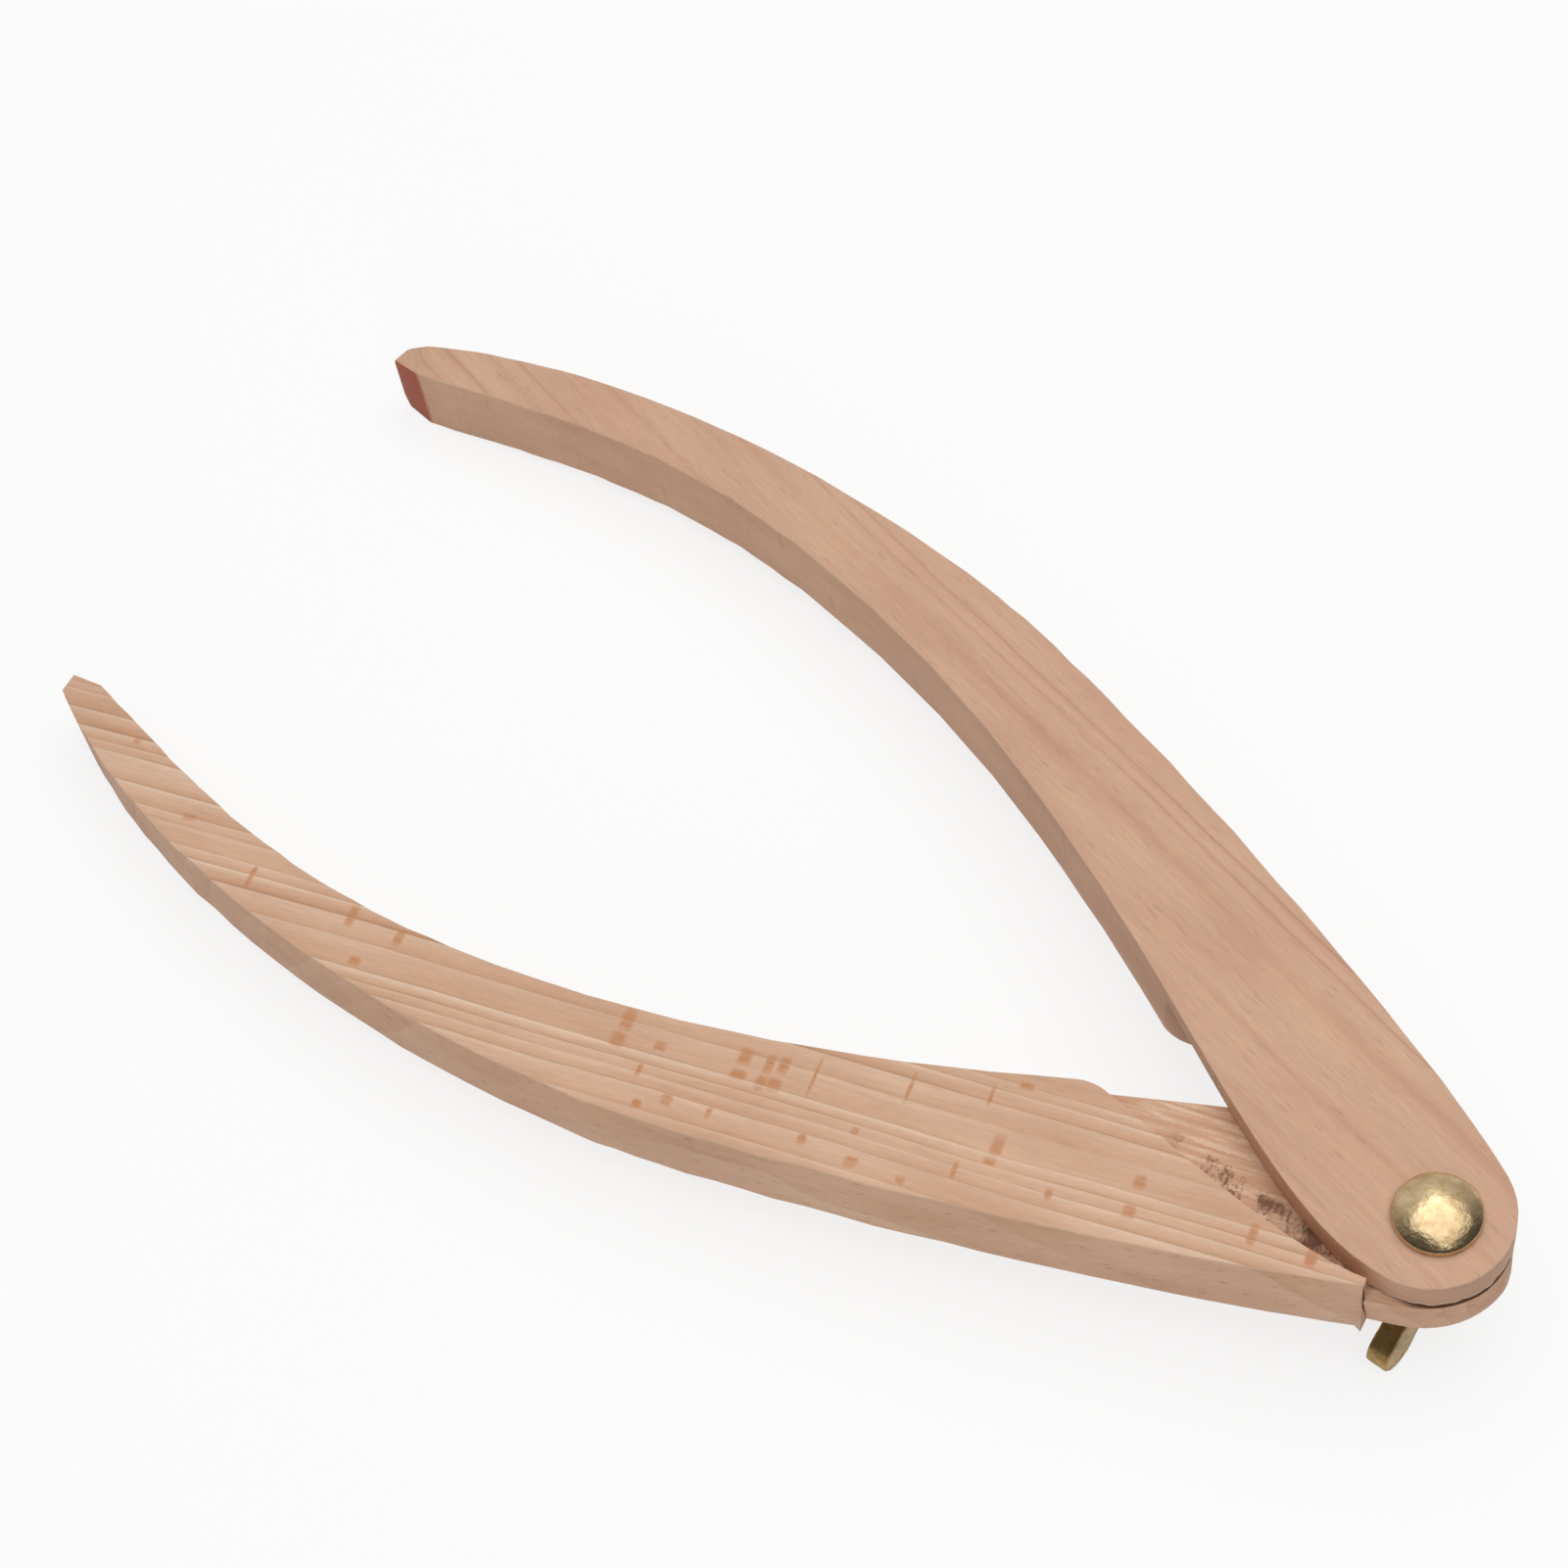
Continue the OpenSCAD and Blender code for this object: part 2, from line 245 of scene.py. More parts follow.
lowerLeg = {
    "node": "lower_leg", "piece": "lower_leg_beech",
    "turn": 9.75, "side": 1,           # swing from the middle line, and the side that it bows to
    "grainTurn": 16.25,                # direction of the fibres
    "pale": "#D7B094", "pink": "#CBA083", "endGrain": "#A87C5F",
    "yearRing": ((0, "#A9764F"), (0.06, "#EBD3BC"), (0.32, "#DEBA9F"), (0.8, "#CC9F80"),
                 (0.94, "#C2926E"), (1, "#A4714E")),
    "ringDepth": (0.25, 0.85),         # how clearly the faintest and the plainest ring shows
    "heart": (0, -160, 40),            # middle of the tree seen from the board
    "ringGap": 2.7,
    "dashSize": (3.4, 14, 0.45),       # spacing of the dashes along the fibres, across the board and through it
    "dashes": (0, 0.65),               # how plainly they show on the broad faces and on the narrow ones
    # the lower disc's side swells towards the shoulder, from "start" to "end" along the leg
    "heel": {"start": -1, "end": 5.3, "length": 6.2, "outer": 10, "below": 7.9, "bend": 2.2, "swell": 0.9,
             "more": 0.7, "height": 7.3},
    # ray patches on the upper face: place along and across the board, half length and half width
    "rayPatches": ((124.9, 5.6, 1, 1.8), (125.1, 9.3, 1.1, 1.2), (118.4, 8.4, 0.9, 0.8),
                   (119.9, 13.2, 0.4, 1), (118, 18.8, 0.7, 0.7), (113.9, 16.7, 0.9, 0.8),
                   (106.9, 16.9, 0.4, 0.9), (105.2, 6.2, 1, 1.4), (105.1, 9.4, 1.2, 0.9),
                   (101.2, 6.3, 0.7, 1.5), (99, 5.8, 0.8, 1.4), (99.3, 9.4, 1.1, 1.1),
                   (101.3, 9.7, 0.8, 1.2), (93.9, 6.2, 0.25, 3.2), (91.9, 16.7, 0.7, 0.8),
                   (84.8, 12.9, 0.6, 0.5), (83.6, 18, 1, 0.9), (79.5, 3.5, 0.3, 2.4),
                   (75.5, 18.5, 0.7, 0.6), (68.5, 14.5, 0.4, 1.3), (67.5, 1, 0.3, 1.5), (63, -2, 1, 0.6),
                   (63.8, 8.5, 0.9, 1.6), (64, 11.5, 0.9, 0.6), (54, 14, 0.5, 0.9), (42, 8, 0.9, 1.1),
                   (42, 13, 0.9, 1), (24, 11, 0.6, 1.6), (15, 12, 0.8, 1.3), (165.5, 3, 0.7, 1.3),
                   (170.5, 9, 0.9, 0.8), (174.5, 1.5, 0.7, 1.7), (193.5, 0, 0.4, 2.1),
                   (208.5, -7.5, 1.1, 0.6), (224, -18.5, 0.6, 0.6)),
}
upperLeg = {
    "node": "upper_leg", "piece": "upper_leg_beech",
    "turn": -9.75, "side": -1,
    "grainTurn": -15.25,
    "pale": "#D2AB8F", "pink": "#C89E84", "endGrain": "#A07860",
    "yearRing": ((0, "#C3937A"), (0.1, "#CDA58A"), (0.45, "#D3AD91"), (0.85, "#CB9F86"),
                 (0.96, "#B48468"), (1, "#B68A70")),
    "ringDepth": (0.2, 0.75),
    "heart": (0, 62, -90),
    "ringGap": 3.1,
    "dashSize": (5.5, 0.7, 14),
    "dashes": (0.22, 0.15),
    # the saw tore the upper disc's lower arris: how deep, how uneven, in how many waves round it
    "tornRim": {"before": 5, "rim": 9, "below": 8.3, "depth": 0.1, "uneven": 0.05, "waves": (9, 23),
                "lift": 0.35},
    "rayPatches": (),
}
legFinish = {
    "edgeRound": 0.35,        # rounding of the cut edges
    "waver": 0.13,            # how far the hand-cut edges wander, as two waves of so many radians a millimetre
    "waves": (0.61, 0.23),
    "wavy": (12, 56, 234),    # along the leg: the outer edge wanders from the first, the inner from the second
    "wavyOuter": 14.5,        # beyond this the outer edge is meant
    "crest": (85, 205, 20),   # there the outer edge wanders only inwards
    # upright corners rounded by hand: place in the leg's frame, how far the cut reaches from the corner
    "softCorners": ((54.2, 0.2, 2.3), (242.4, 3.5, 1.2), (242.4, 0.05, 0.9)),
    "rayPatch": "#BC7740",
    "dash": "#8A5F46",
    "stain": "#A5503C",
    "stainFrom": 236.3,       # where the stained contact face begins, along the leg
    "stainAcross": (0.7, 1),  # where it ends across the leg
    "stainShare": 0.95,
    # the pale colour of torn fibres, which also paints the highlight on the upper arrises
    "paleTornFibreAndHighlight": "#EBD0B6", "tornDark": "#C08A64",
    "tornShare": 0.45,        # how plainly the torn grain of the lap shows
    "burn": "#683A30",
    # colour of the painted shade in the gap between the hinge's discs
    "hingeGapShade": "#54301F",
}
grain = {  # sizes of the patterns along the fibres, across the board and through it
    "drift": (70, 22, 22), "driftBy": (0, 2.4, 2.4),
    "plain": (45, 12, 12),       # stretches where the rings show
    "fibre": (2.6, 0.42, 0.42),
    "streak": (14, 0.7, 0.7),
    "cloud": (30, 8, 8),
    "torn": (14, 0.9, 0.9),
    "cluster": (5, 9, 9),
    "soot": (0.5, 1.1, 1),
    "ringWaver": (0.13, 3.0),    # how often the rings' spacing changes, a millimetre, and by how many rings
    "patchDepth": 1.5, "patchWaver": (0.5, 0.7, 0),
}
lapMarks = {  # places in the leg's frame between which a mark fades in or out
    "under": (0.6, 0.9), "over": (12.6, 12.9),     # heights that hold the lap's face
    "lapEnd": (80, 90),
    "burnSlope": 0.226, "burnWaver": 3.2,          # the burns follow the shoulder's slant
    "burnAcross": (11.4, 12.1), "burnStart": (6, 9), "burnEnd": (36, 42),
    # where the painted shade in the hinge's gap lies: distance from the bolt, and where it ends along the leg
    "gapShadeRadius": (11.6, 12.5), "gapShadeEnd": (-1, 2),
    "fuzzFoot": (7.55, 7.65), "fuzzTop": (8.5, 9.2), "fuzzEnd": (3, 6),
    # heights of the painted highlight along the upper arrises
    "rubbedPlateAndPaintedArrisHighlight": (13.3, 13.6),
}
reliefDepth = {"fibre": 0.04, "ring": 0.05, "dash": -0.03, "torn": 0.32, "burn": -0.25}
boardTop = 13.5


def beech(name, leg):
    material, tree = newMaterial(name)
    place = addNode(tree, "ShaderNodeTexCoord")
    board = addNode(tree, "ShaderNodeMapping", {"Vector": place.outputs["Object"], "Scale": inMm,
                    "Rotation": (0, 0, -math.radians(leg["grainTurn"]))})
    plan = addNode(tree, "ShaderNodeMapping", {"Vector": place.outputs["Object"], "Scale": inMm,
                   "Rotation": (0, 0, -math.radians(leg["turn"]))})
    plan = addNode(tree, "ShaderNodeVectorMath", {0: plan, 1: (1, leg["side"], 1)}, operation="MULTIPLY")
    spot = addNode(tree, "ShaderNodeSeparateXYZ", {0: plan})
    alongLeg, outwards, up = spot.outputs["X"], spot.outputs["Y"], spot.outputs["Z"]
    facing = addNode(tree, "ShaderNodeSeparateXYZ", {0: place.outputs["Normal"]})
    broad = addNode(tree, "ShaderNodeMath", {0: facing.outputs["Z"]}, operation="ABSOLUTE")
    broad = addNode(tree, "ShaderNodeMapRange", {"Value": broad, "From Min": 0.45, "From Max": 0.75})

    # the fibres wander by about a millimetre over a hand's length
    drift = addNode(tree, "ShaderNodeMapping", {"Vector": board, "Scale": perMm(grain["drift"])})
    drift = addNode(tree, "ShaderNodeTexNoise", {"Vector": drift, "Scale": 1, "Detail": 2})
    grown = addNode(tree, "ShaderNodeVectorMath", {0: drift.outputs["Color"], 1: grain["driftBy"], 2: board},
                    operation="MULTIPLY_ADD")
    ragged = addNode(tree, "ShaderNodeTexNoise", {"Vector": board, "Scale": 1.4, "Detail": 3})

    # growth rings round the heart of the tree, a few millimetres apart
    fromHeart = addNode(tree, "ShaderNodeVectorMath", {0: grown, 1: leg["heart"]}, operation="SUBTRACT")
    fromHeart = addNode(tree, "ShaderNodeVectorMath", {0: fromHeart, 1: (0, 1, 1)}, operation="MULTIPLY")
    radius = addNode(tree, "ShaderNodeVectorMath", {0: fromHeart}, operation="LENGTH").outputs["Value"]
    uneven = addNode(tree, "ShaderNodeTexNoise", {"W": radius, "Scale": grain["ringWaver"][0], "Detail": 1},
                     noise_dimensions="1D")
    years = addNode(tree, "ShaderNodeMath", {0: radius, 1: 1 / leg["ringGap"]}, operation="MULTIPLY")
    years = addNode(tree, "ShaderNodeMath", {0: uneven, 1: grain["ringWaver"][1], 2: years},
                    operation="MULTIPLY_ADD")
    season = addNode(tree, "ShaderNodeMath", {0: years}, operation="FRACT")
    year = addNode(tree, "ShaderNodeMath", {0: years}, operation="FLOOR")
    yearTone = addNode(tree, "ShaderNodeTexWhiteNoise", {"W": year}, noise_dimensions="1D")
    ring = addNode(tree, "ShaderNodeValToRGB", {"Fac": season},
                   stops=[(at, hexColor(code)) for at, code in leg["yearRing"]])
    plain = addNode(tree, "ShaderNodeMapping", {"Vector": board, "Scale": perMm(grain["plain"])})
    plain = addNode(tree, "ShaderNodeTexNoise", {"Vector": plain, "Scale": 1, "Detail": 1})
    plain = addNode(tree, "ShaderNodeMapRange",
                    {"Value": plain, "From Min": 0.35, "From Max": 0.6, "To Min": 0.45, "To Max": 1})
    ringDepth = addNode(tree, "ShaderNodeMapRange",
                        {"Value": yearTone, "To Min": leg["ringDepth"][0], "To Max": leg["ringDepth"][1]})
    ringDepth = addNode(tree, "ShaderNodeMath", {0: ringDepth, 1: plain}, operation="MULTIPLY")
    ringShare = addNode(tree, "ShaderNodeMapRange", {"Value": broad, "To Min": 0.3, "To Max": 1})
    ringDepth = addNode(tree, "ShaderNodeMath", {0: ringDepth, 1: ringShare}, operation="MULTIPLY")

    # fibres and pores: real ones are 0.05 mm wide and are drawn eight times as wide, so that they show
    fibre = addNode(tree, "ShaderNodeMapping", {"Vector": grown, "Scale": perMm(grain["fibre"])})
    fibre = addNode(tree, "ShaderNodeTexNoise", {"Vector": fibre, "Scale": 1, "Detail": 2, "Roughness": 0.6})
    streak = addNode(tree, "ShaderNodeMapping", {"Vector": grown, "Scale": perMm(grain["streak"])})
    streak = addNode(tree, "ShaderNodeTexNoise", {"Vector": streak, "Scale": 1, "Detail": 3, "Roughness": 0.6})
    cloud = addNode(tree, "ShaderNodeMapping", {"Vector": grown, "Scale": perMm(grain["cloud"])})
    cloud = addNode(tree, "ShaderNodeTexNoise", {"Vector": cloud, "Scale": 1, "Detail": 3})
    colour = addNode(tree, "ShaderNodeValToRGB", {"Fac": cloud},
                     stops=((0.34, hexColor(leg["pale"])), (0.66, hexColor(leg["pink"]))))
    colour = addNode(tree, "ShaderNodeMix", {"Factor": ringDepth, "A": colour, "B": ring}, data_type="RGBA")
    tone = addNode(tree, "ShaderNodeMath", {0: fibre, 1: streak}, operation="ADD")
    tone = addNode(tree, "ShaderNodeMapRange",
                   {"Value": tone, "From Min": 0.6, "From Max": 1.4, "To Min": 0.9, "To Max": 1.08})
    tone = addNode(tree, "ShaderNodeCombineXYZ", {0: tone, 1: tone, 2: tone})
    colour = addNode(tree, "ShaderNodeMix", {"Factor": 1, "A": colour, "B": tone}, data_type="RGBA",
                     blend_type="MULTIPLY")

    # rays seen from their edge: dark dashes along the grain, up to 3 mm long
    dash = addNode(tree, "ShaderNodeMapping", {"Vector": grown, "Scale": perMm(leg["dashSize"])})
    dash = addNode(tree, "ShaderNodeTexVoronoi", {"Vector": dash, "Scale": 1})
    dashTone = addNode(tree, "ShaderNodeSeparateXYZ", {0: dash.outputs["Color"]})
    dashSize = addNode(tree, "ShaderNodeMapRange",
                       {"Value": dashTone.outputs["X"], "From Min": 0.1, "From Max": 1, "To Min": 0.02,
                        "To Max": 0.26})
    dash = addNode(tree, "ShaderNodeMath", {0: dash.outputs["Distance"], 1: dashSize}, operation="DIVIDE")
    dash = addNode(tree, "ShaderNodeMapRange",
                   {"Value": dash, "From Min": 0.6, "From Max": 1.1, "To Min": 1, "To Max": 0})
    dashDepth = addNode(tree, "ShaderNodeMapRange",
                        {"Value": broad, "To Min": leg["dashes"][1], "To Max": leg["dashes"][0]})
    dash = addNode(tree, "ShaderNodeMath", {0: dash, 1: dashDepth}, operation="MULTIPLY")
    colour = addNode(tree, "ShaderNodeMix", {"Factor": dash, "A": colour, "B": hexColor(legFinish["dash"])},
                     data_type="RGBA")

    # rays seen from their side: squarish patches, longest across the grain
    patches = None
    shaken = addNode(tree, "ShaderNodeVectorMath",
                     {0: ragged.outputs["Color"], 1: grain["patchWaver"], 2: board}, operation="MULTIPLY_ADD")
    for x, y, halfLong, halfWide in leg["rayPatches"]:
        middle = (x + grain["patchWaver"][0] / 2, y + grain["patchWaver"][1] / 2, boardTop)
        away = addNode(tree, "ShaderNodeVectorMath", {0: shaken, 1: middle}, operation="SUBTRACT")
        size = perMm((halfLong, halfWide, grain["patchDepth"]))
        away = addNode(tree, "ShaderNodeVectorMath", {0: away, 1: size}, operation="MULTIPLY")
        away = addNode(tree, "ShaderNodeVectorMath", {0: away, 1: away}, operation="MULTIPLY")
        away = addNode(tree, "ShaderNodeVectorMath", {0: away}, operation="LENGTH").outputs["Value"]
        patches = addNode(tree, "ShaderNodeMath", {0: away, 1: patches},
                          operation="MINIMUM").outputs[0] if patches else away
    if patches:
        patches = addNode(tree, "ShaderNodeMapRange",
                          {"Value": patches, "From Min": 0.35, "From Max": 1.7, "To Min": 1, "To Max": 0})
        worn = addNode(tree, "ShaderNodeMapRange",
                       {"Value": streak, "From Min": 0.35, "From Max": 0.6, "To Min": 0.3, "To Max": 0.72})
        patches = addNode(tree, "ShaderNodeMath", {0: patches, 1: worn}, operation="MULTIPLY")
        colour = addNode(tree, "ShaderNodeMix",
                         {"Factor": patches, "A": colour, "B": hexColor(legFinish["rayPatch"])},
                         data_type="RGBA")

    # the cut ends of the fibres drink more light than their sides
    fibreTurn = math.radians(leg["grainTurn"])
    along = (math.cos(fibreTurn), math.sin(fibreTurn), 0)
    ends = addNode(tree, "ShaderNodeVectorMath", {0: place.outputs["Normal"], 1: along},
                   operation="DOT_PRODUCT")
    ends = addNode(tree, "ShaderNodeMath", {0: ends.outputs["Value"]}, operation="ABSOLUTE")
    ends = addNode(tree, "ShaderNodeMapRange",
                   {"Value": ends, "From Min": 0.45, "From Max": 1, "To Min": 0, "To Max": 0.5})
    colour = addNode(tree, "ShaderNodeMix", {"Factor": ends, "A": colour, "B": hexColor(leg["endGrain"])},
                     data_type="RGBA")

    # faces of the lap, left as the saw and chisel tore them: coarse stringy grain
    inLap = addNode(tree, "ShaderNodeMapRange",
                    {"Value": up, "From Min": lapMarks["over"][0], "From Max": lapMarks["over"][1], "To Min": 1,
                     "To Max": 0})
    notUnder = addNode(tree, "ShaderNodeMapRange",
                       {"Value": up, "From Min": lapMarks["under"][0], "From Max": lapMarks["under"][1]})
    nearHinge = addNode(tree, "ShaderNodeMapRange",
                        {"Value": alongLeg, "From Min": lapMarks["lapEnd"][0],
                         "From Max": lapMarks["lapEnd"][1], "To Min": 1, "To Max": 0})
    inLap = addNode(tree, "ShaderNodeMath", {0: inLap, 1: notUnder}, operation="MULTIPLY")
    inLap = addNode(tree, "ShaderNodeMath", {0: inLap, 1: nearHinge}, operation="MULTIPLY")
    inLap = addNode(tree, "ShaderNodeMath", {0: inLap, 1: broad}, operation="MULTIPLY")
    torn = addNode(tree, "ShaderNodeMapping", {"Vector": shaken, "Scale": perMm(grain["torn"])})
    torn = addNode(tree, "ShaderNodeTexNoise", {"Vector": torn, "Scale": 1, "Detail": 4, "Roughness": 0.65})
    tornStops = ((0.36, hexColor(legFinish["tornDark"])), (0.5, hexColor(leg["pink"])),
                 (0.62, hexColor(legFinish["paleTornFibreAndHighlight"])))
    tornColour = addNode(tree, "ShaderNodeValToRGB", {"Fac": torn}, stops=tornStops)
    amount = addNode(tree, "ShaderNodeMath", {0: inLap, 1: legFinish["tornShare"]}, operation="MULTIPLY")
    colour = addNode(tree, "ShaderNodeMix", {"Factor": amount, "A": colour, "B": tornColour}, data_type="RGBA")

    # burns that the saw left beside the shoulder, in ragged dark clusters
    burnLine = addNode(tree, "ShaderNodeMath", {0: alongLeg, 1: lapMarks["burnSlope"], 2: outwards},
                       operation="MULTIPLY_ADD")
    burnLine = addNode(tree, "ShaderNodeMath", {0: ragged, 1: lapMarks["burnWaver"], 2: burnLine},
                       operation="MULTIPLY_ADD")
    burnt = addNode(tree, "ShaderNodeMapRange",
                    {"Value": burnLine, "From Min": lapMarks["burnAcross"][0],
                     "From Max": lapMarks["burnAcross"][1]})
    burnEnd = addNode(tree, "ShaderNodeMapRange",
                      {"Value": alongLeg, "From Min": lapMarks["burnEnd"][0],
                       "From Max": lapMarks["burnEnd"][1], "To Min": 1, "To Max": 0})
    burnt = addNode(tree, "ShaderNodeMath", {0: burnt, 1: burnEnd}, operation="MULTIPLY")
    burnStart = addNode(tree, "ShaderNodeMapRange",
                        {"Value": alongLeg, "From Min": lapMarks["burnStart"][0],
                         "From Max": lapMarks["burnStart"][1]})
    burnt = addNode(tree, "ShaderNodeMath", {0: burnt, 1: burnStart}, operation="MULTIPLY")
    burnt = addNode(tree, "ShaderNodeMath", {0: burnt, 1: inLap}, operation="MULTIPLY")
    cluster = addNode(tree, "ShaderNodeMapping",
                      {"Vector": plan, "Scale": perMm(grain["cluster"]), "Location": (0.3, 0, 0)})
    cluster = addNode(tree, "ShaderNodeTexNoise", {"Vector": cluster, "Scale": 1, "Detail": 1})
    soot = addNode(tree, "ShaderNodeMapping", {"Vector": plan, "Scale": perMm(grain["soot"])})
    soot = addNode(tree, "ShaderNodeTexNoise", {"Vector": soot, "Scale": 1, "Detail": 4, "Roughness": 0.8})
    soot = addNode(tree, "ShaderNodeMath", {0: cluster, 1: 1.1, 2: soot}, operation="MULTIPLY_ADD")
    soot = addNode(tree, "ShaderNodeMapRange",
                   {"Value": soot, "From Min": 1.0, "From Max": 1.2, "To Min": 0, "To Max": 0.8})
    burnt = addNode(tree, "ShaderNodeMath", {0: burnt, 1: soot}, operation="MULTIPLY")
    colour = addNode(tree, "ShaderNodeMix", {"Factor": burnt, "A": colour, "B": hexColor(legFinish["burn"])},
                     data_type="RGBA")

    # painted shade in the gap between the two discs of the hinge, on the side away from the legs
    fromBolt = addNode(tree, "ShaderNodeVectorMath", {0: plan, 1: (1, 1, 0)}, operation="MULTIPLY")
    fromBolt = addNode(tree, "ShaderNodeVectorMath", {0: fromBolt}, operation="LENGTH").outputs["Value"]
    gapShade = addNode(tree, "ShaderNodeMapRange",
                    {"Value": fromBolt, "From Min": lapMarks["gapShadeRadius"][0],
                     "From Max": lapMarks["gapShadeRadius"][1], "To Min": 0.9, "To Max": 0})
    gapShade = addNode(tree, "ShaderNodeMath", {0: gapShade, 1: inLap}, operation="MULTIPLY")
    behind = addNode(tree, "ShaderNodeMapRange",
                     {"Value": alongLeg, "From Min": lapMarks["gapShadeEnd"][0], "From Max": lapMarks["gapShadeEnd"][1],
                      "To Min": 1, "To Max": 0})
    gapShade = addNode(tree, "ShaderNodeMath", {0: gapShade, 1: behind}, operation="MULTIPLY")
    colour = addNode(tree, "ShaderNodeMix",
                     {"Factor": gapShade, "A": colour, "B": hexColor(legFinish["hingeGapShade"])}, data_type="RGBA")

    # torn fibres left pale on the upper disc's lower arris, and a painted highlight along the upper arrises
    fuzzTop = addNode(tree, "ShaderNodeMath", {0: ragged, 1: 1.2, 2: up}, operation="MULTIPLY_ADD")
    fuzzTop = addNode(tree, "ShaderNodeMapRange",
                      {"Value": fuzzTop, "From Min": lapMarks["fuzzTop"][0], "From Max": lapMarks["fuzzTop"][1],
                       "To Min": 1, "To Max": 0})
    paleFuzzAndArrisHighlight = addNode(tree, "ShaderNodeMapRange",
                   {"Value": up, "From Min": lapMarks["fuzzFoot"][0], "From Max": lapMarks["fuzzFoot"][1],
                    "To Min": 0, "To Max": 0.7})
    paleFuzzAndArrisHighlight = addNode(tree, "ShaderNodeMath", {0: paleFuzzAndArrisHighlight, 1: fuzzTop}, operation="MULTIPLY")
    atHinge = addNode(tree, "ShaderNodeMapRange",
                      {"Value": alongLeg, "From Min": lapMarks["fuzzEnd"][0],
                       "From Max": lapMarks["fuzzEnd"][1], "To Min": 1, "To Max": 0})
    paleFuzzAndArrisHighlight = addNode(tree, "ShaderNodeMath", {0: paleFuzzAndArrisHighlight, 1: atHinge}, operation="MULTIPLY")
    # painted highlight: the top band of the side faces is lightened towards the pale colour
    rubbedPlateAndPaintedArrisHighlight = addNode(tree, "ShaderNodeMath", {0: ragged, 1: 0.7, 2: up}, operation="MULTIPLY_ADD")
    rubbedPlateAndPaintedArrisHighlight = addNode(tree, "ShaderNodeMapRange",
                     {"Value": rubbedPlateAndPaintedArrisHighlight, "From Min": lapMarks["rubbedPlateAndPaintedArrisHighlight"][0], "From Max": lapMarks["rubbedPlateAndPaintedArrisHighlight"][1],
                      "To Min": 0, "To Max": 0.45})
    paleFuzzAndArrisHighlight = addNode(tree, "ShaderNodeMath", {0: paleFuzzAndArrisHighlight, 1: rubbedPlateAndPaintedArrisHighlight}, operation="MAXIMUM")
    narrow = addNode(tree, "ShaderNodeMath", {0: 1, 1: broad}, operation="SUBTRACT")
    paleFuzzAndArrisHighlight = addNode(tree, "ShaderNodeMath", {0: paleFuzzAndArrisHighlight, 1: narrow}, operation="MULTIPLY")
    colour = addNode(tree, "ShaderNodeMix", {"Factor": paleFuzzAndArrisHighlight, "A": colour, "B": hexColor(legFinish["paleTornFibreAndHighlight"])},
                     data_type="RGBA")

    # the stain on the contact face, with a ragged border
    inner = addNode(tree, "ShaderNodeMath", {0: ragged, 1: 0.5, 2: outwards}, operation="MULTIPLY_ADD")
    inner = addNode(tree, "ShaderNodeMapRange", {"Value": inner, "From Min": legFinish["stainAcross"][0],
                    "From Max": legFinish["stainAcross"][1], "To Min": 1, "To Max": 0})
    far = addNode(tree, "ShaderNodeMath", {0: ragged, 1: 1.2, 2: alongLeg}, operation="MULTIPLY_ADD")
    far = addNode(tree, "ShaderNodeMapRange", {"Value": far, "From Min": legFinish["stainFrom"] + 0.4,
                  "From Max": legFinish["stainFrom"] + 1.2})
    stained = addNode(tree, "ShaderNodeMath", {0: inner, 1: far}, operation="MULTIPLY")
    stained = addNode(tree, "ShaderNodeMath", {0: stained, 1: narrow}, operation="MULTIPLY")
    stained = addNode(tree, "ShaderNodeMath", {0: stained, 1: legFinish["stainShare"]}, operation="MULTIPLY")
    colour = addNode(tree, "ShaderNodeMix", {"Factor": stained, "A": colour, "B": hexColor(legFinish["stain"])},
                     data_type="RGBA")

    # relief: pores and fibres, soft wood sanded hollow between the rings, torn grain and burns in the lap
    height = addNode(tree, "ShaderNodeMath", {0: fibre, 1: reliefDepth["fibre"]}, operation="MULTIPLY")
    hollow = addNode(tree, "ShaderNodeMath", {0: season, 1: ringDepth}, operation="MULTIPLY")
    height = addNode(tree, "ShaderNodeMath", {0: hollow, 1: reliefDepth["ring"], 2: height},
                     operation="MULTIPLY_ADD")
    height = addNode(tree, "ShaderNodeMath", {0: dash, 1: reliefDepth["dash"], 2: height},
                     operation="MULTIPLY_ADD")
    tornRelief = addNode(tree, "ShaderNodeMath", {0: torn, 1: inLap}, operation="MULTIPLY")
    height = addNode(tree, "ShaderNodeMath", {0: tornRelief, 1: reliefDepth["torn"], 2: height},
                     operation="MULTIPLY_ADD")
    height = addNode(tree, "ShaderNodeMath", {0: burnt, 1: reliefDepth["burn"], 2: height},
                     operation="MULTIPLY_ADD")
    bump = addNode(tree, "ShaderNodeBump", {"Strength": 0.8, "Distance": mm, "Height": height})
    gloss = addNode(tree, "ShaderNodeMapRange", {"Value": fibre, "To Min": 0.58, "To Max": 0.72})
    wood = addNode(tree, "ShaderNodeBsdfPrincipled",
                   {"Base Color": colour, "Roughness": gloss, "Normal": bump, "IOR": 1.45})
    wood.inputs["Specular IOR Level"].default_value = 0.3
    addNode(tree, "ShaderNodeOutputMaterial", {"Surface": wood})
    return material


def legPlace(vertex, leg):  # a vertex in the leg's own frame, in millimetres: along, outwards, up
    turn = math.radians(leg["turn"])
    along = vertex.co.x * math.cos(turn) + vertex.co.y * math.sin(turn)
    outwards = leg["side"] * (vertex.co.y * math.cos(turn) - vertex.co.x * math.sin(turn))
    return along / mm, outwards / mm, vertex.co.z / mm


def pushOut(vertex, leg, along, outwards, up=0):  # moves a vertex by so many millimetres of the leg's frame
    turn = math.radians(leg["turn"])
    vertex.co.x += (along * math.cos(turn) - leg["side"] * outwards * math.sin(turn)) * mm
    vertex.co.y += (along * math.sin(turn) + leg["side"] * outwards * math.cos(turn)) * mm
    vertex.co.z += up * mm


